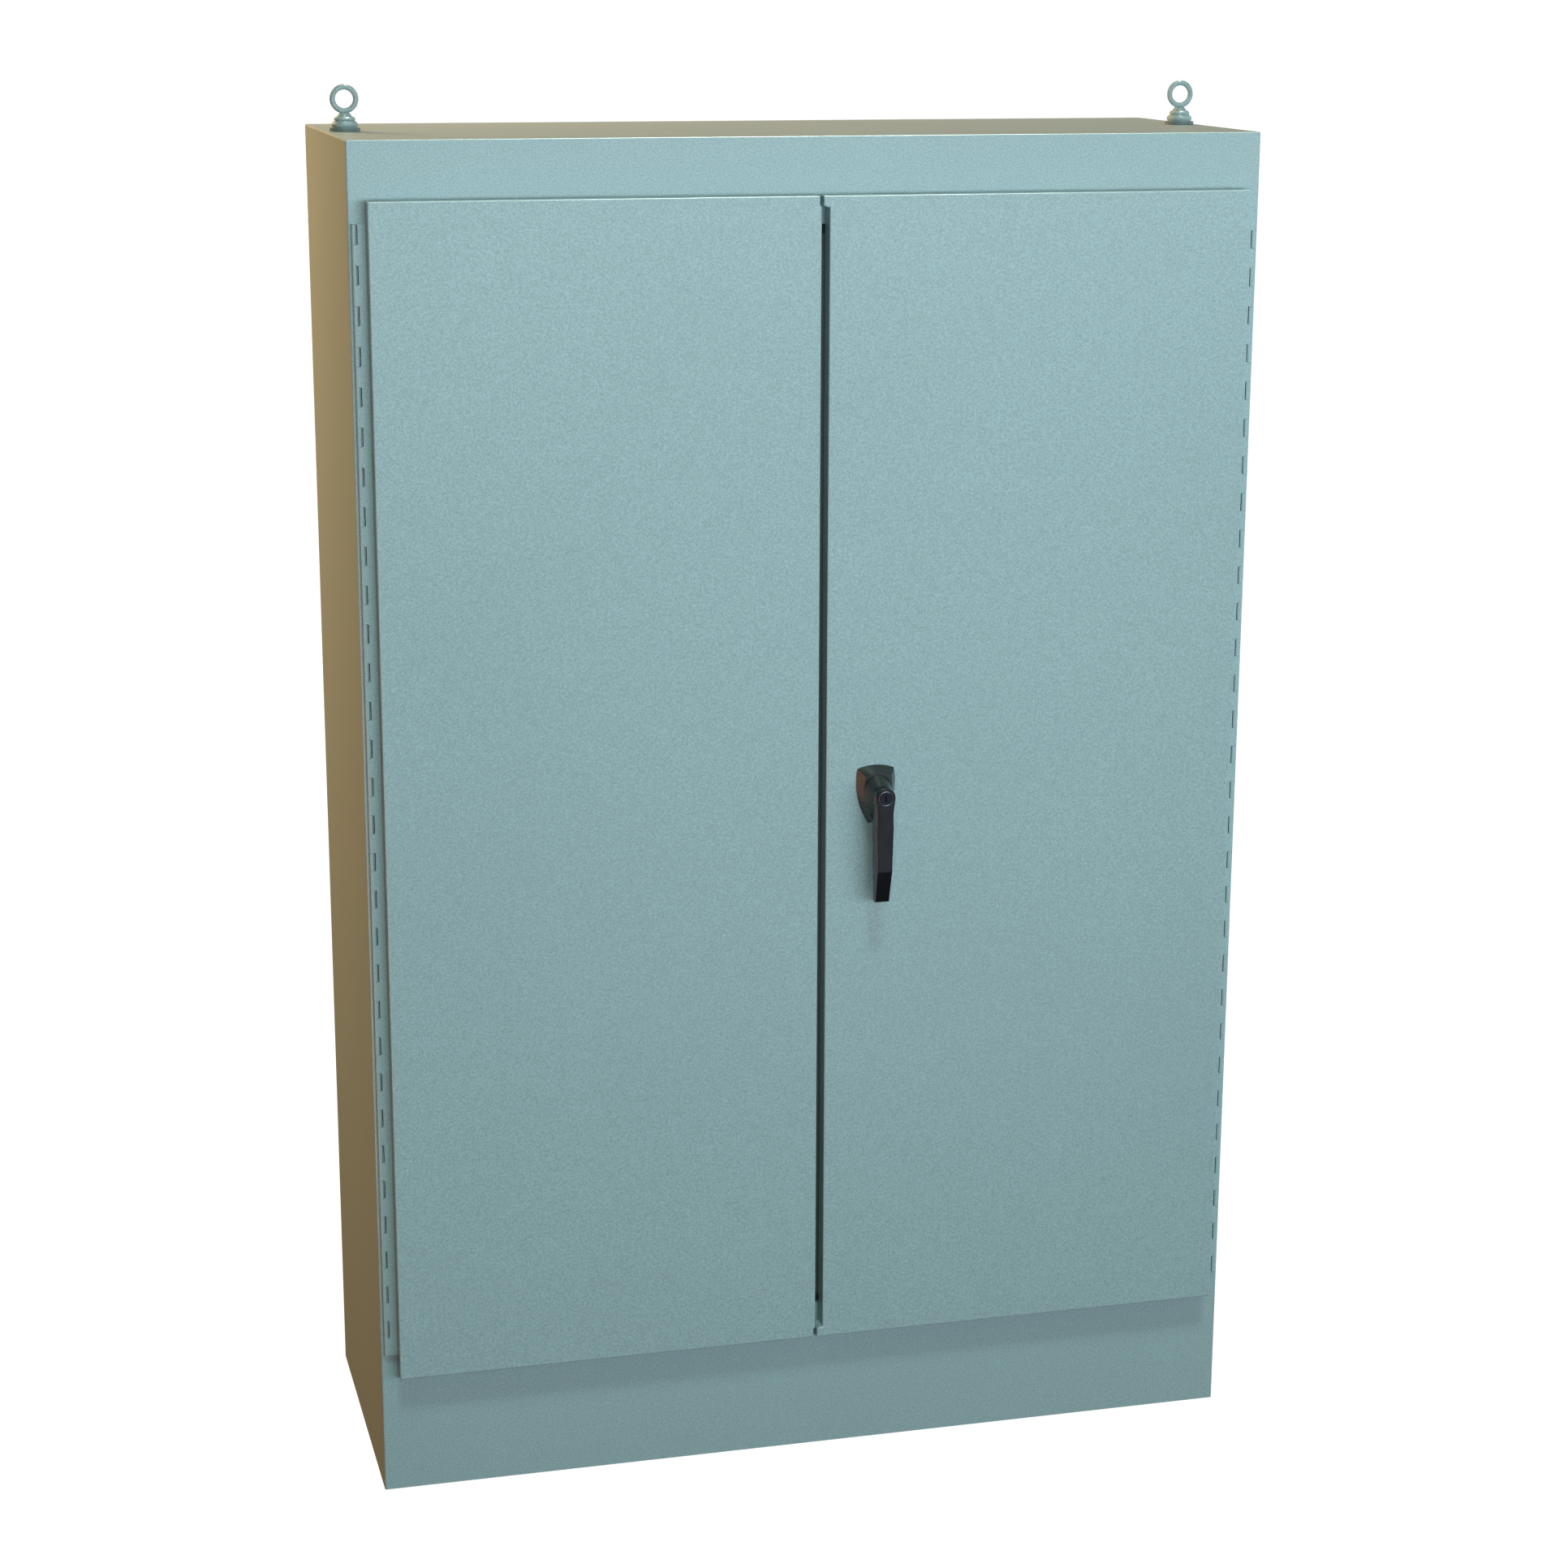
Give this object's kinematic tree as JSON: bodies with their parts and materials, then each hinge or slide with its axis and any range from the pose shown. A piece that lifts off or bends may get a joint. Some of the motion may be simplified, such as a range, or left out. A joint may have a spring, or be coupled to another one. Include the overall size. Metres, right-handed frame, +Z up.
{
  "type": "automatic transfer switch",
  "caption": "Floor-standing two-door sheet-metal cabinet with a keyed lever handle and lifting eyes, holding a motor-driven breaker-type automatic transfer switch.",
  "frame": {"origin": "centre of the footprint on the floor, under the body without its doors", "axes": "+Z up, -Y towards the doors, +X to the right seen from the front"},
  "size_m": [1.2192, 0.5404, 1.8893],
  "materials": {
    "cabinet_paint": "fine-grain grey-green powder coat",
    "inner_panel_paint": "white gloss powder coat",
    "post_paint": "dark powder coat",
    "zinc": "bright zinc plate",
    "steel": "ground steel",
    "handle_black": "black satin coat",
    "key_metal": "polished",
    "gasket": "closed-cell foam",
    "moulded_black": "moulded thermoset",
    "moulded_grey": "moulded",
    "duct_grey": "moulded PVC",
    "nylon": "moulded nylon",
    "display": "gloss screen",
    "button_red": "gloss",
    "copper": "tinned copper bar",
    "lug_metal": "tin-plated",
    "motor_grey": "grey enamel",
    "gear_brass": "cut teeth",
    "core": "varnished laminations",
    "terminal_grey": "moulded polyamide",
    "fuse_black": "moulded"
  },
  "bodies": {
    "enclosure": {"left_side_panel": "cabinet_paint", "right_side_panel": "cabinet_paint", "back_panel": "cabinet_paint", "roof_panel": "cabinet_paint", "floor_panel": "cabinet_paint", "gland_plate": "cabinet_paint", "front_header": "cabinet_paint", "front_apron": "cabinet_paint", "centre_post": "post_paint", "frame_bolts": "zinc", "lifting_eyes": "cabinet_paint", "eye_washers": "cabinet_paint", "eye_nuts": "zinc", "hinge_frame_leaves": "cabinet_paint", "hinge_pins": "steel", "mounting_panel": "inner_panel_paint", "panel_studs": "zinc", "panel_nuts": "zinc", "switch_base_plate": "steel", "normal_switch_case": "moulded_black", "emergency_switch_case": "moulded_black", "slide_guides": "steel", "operator_motor": "motor_grey", "load_busbars": "copper", "cable_lugs": "lug_metal", "controller_case": "moulded_grey", "controller_display": "display", "control_transformers": "core", "din_rail": "zinc", "terminal_blocks": "terminal_grey", "fuse_holders": "fuse_black", "neutral_bar": "lug_metal", "ground_bar": "copper", "wire_ducts": "duct_grey"},
    "left_door": {"left_door_panel": "cabinet_paint", "left_door_gasket": "gasket", "left_door_stiffeners": "cabinet_paint", "left_hinge_door_leaf": "cabinet_paint", "bolt_guides": "nylon"},
    "right_door": {"right_door_panel": "cabinet_paint", "right_door_gasket": "gasket", "right_door_stiffeners": "cabinet_paint", "right_hinge_door_leaf": "cabinet_paint", "document_pocket": "moulded_grey", "handle_escutcheon": "handle_black", "latch_bracket": "zinc", "rod_guides": "nylon"},
    "handle": {"lever_handle": "handle_black", "latch_cam": "zinc"},
    "key": {"key_plug": "key_metal"},
    "upper_rod": {"upper_latch_rod": "zinc"},
    "lower_rod": {"lower_latch_rod": "zinc"},
    "upper_bolt": {"upper_flush_bolt": "zinc"},
    "lower_bolt": {"lower_flush_bolt": "zinc"},
    "toggle_normal": {"normal_toggle": "moulded_grey"},
    "toggle_emergency": {"emergency_toggle": "moulded_grey"},
    "slide": {"transfer_slide": "zinc"},
    "pinion": {"operator_pinion": "gear_brass"},
    "button": {"test_button": "button_red"},
    "selector": {"mode_selector": "moulded_black"}
  },
  "joints": [
    {"name": "left_door_hinge", "type": "hinge", "parent": "enclosure", "child": "left_door", "pos_m": [-0.6028, -0.2319, 0.964], "axis": [0, 0, -1], "range_deg": [0, 170]},
    {"name": "right_door_hinge", "type": "hinge", "parent": "enclosure", "child": "right_door", "pos_m": [0.6028, -0.2319, 0.964], "axis": [0, 0, 1], "range_deg": [0, 170]},
    {"name": "handle_turn", "type": "hinge", "parent": "right_door", "child": "handle", "pos_m": [0.075, -0.28, 0.964], "axis": [0, -1, 0], "range_deg": [0, 90]},
    {"name": "key_turn", "type": "hinge", "parent": "handle", "child": "key", "pos_m": [0.075, -0.305, 0.964], "axis": [0, -1, 0], "range_deg": [0, 90]},
    {"name": "upper_rod_slide", "type": "slide", "parent": "right_door", "child": "upper_rod", "axis": [0, 0, -1], "range_m": [0, 0.02122]},
    {"name": "lower_rod_slide", "type": "slide", "parent": "right_door", "child": "lower_rod", "axis": [0, 0, 1], "range_m": [0, 0.02122]},
    {"name": "upper_bolt_slide", "type": "slide", "parent": "left_door", "child": "upper_bolt", "axis": [0, 0, 1], "range_m": [0, 0.025]},
    {"name": "lower_bolt_slide", "type": "slide", "parent": "left_door", "child": "lower_bolt", "axis": [0, 0, -1], "range_m": [0, 0.025]},
    {"name": "transfer_slide_move", "type": "slide", "parent": "enclosure", "child": "slide", "axis": [0, 0, -1], "range_m": [0, 0.04788]},
    {"name": "normal_toggle_turn", "type": "hinge", "parent": "enclosure", "child": "toggle_normal", "pos_m": [-0.295, 0.085, 1.3825], "axis": [1, 0, 0], "range_deg": [0, 40]},
    {"name": "emergency_toggle_turn", "type": "hinge", "parent": "enclosure", "child": "toggle_emergency", "pos_m": [-0.295, 0.085, 0.7925], "axis": [1, 0, 0], "range_deg": [0, 40]},
    {"name": "pinion_turn", "type": "hinge", "parent": "enclosure", "child": "pinion", "pos_m": [-0.2071, 0.016, 1.115], "axis": [0, -1, 0], "range_deg": [0, 138]},
    {"name": "test_button_press", "type": "slide", "parent": "enclosure", "child": "button", "axis": [0, 1, 0], "range_m": [0, 0.004], "stiffness_N_per_m": 400, "springref_m": -0.002},
    {"name": "mode_selector_turn", "type": "hinge", "parent": "enclosure", "child": "selector", "pos_m": [0.35, 0.1, 1.305], "axis": [0, -1, 0], "range_deg": [-45, 45]}
  ],
  "couplings": [
    {"joint": "upper_rod_slide", "follows": "handle_turn", "m_per_rad": 0.013505},
    {"joint": "lower_rod_slide", "follows": "handle_turn", "m_per_rad": 0.013505},
    {"joint": "normal_toggle_turn", "follows": "transfer_slide_move", "rad_per_m": 14.58},
    {"joint": "emergency_toggle_turn", "follows": "transfer_slide_move", "rad_per_m": 14.58},
    {"joint": "pinion_turn", "follows": "transfer_slide_move", "rad_per_m": 50}
  ]
}
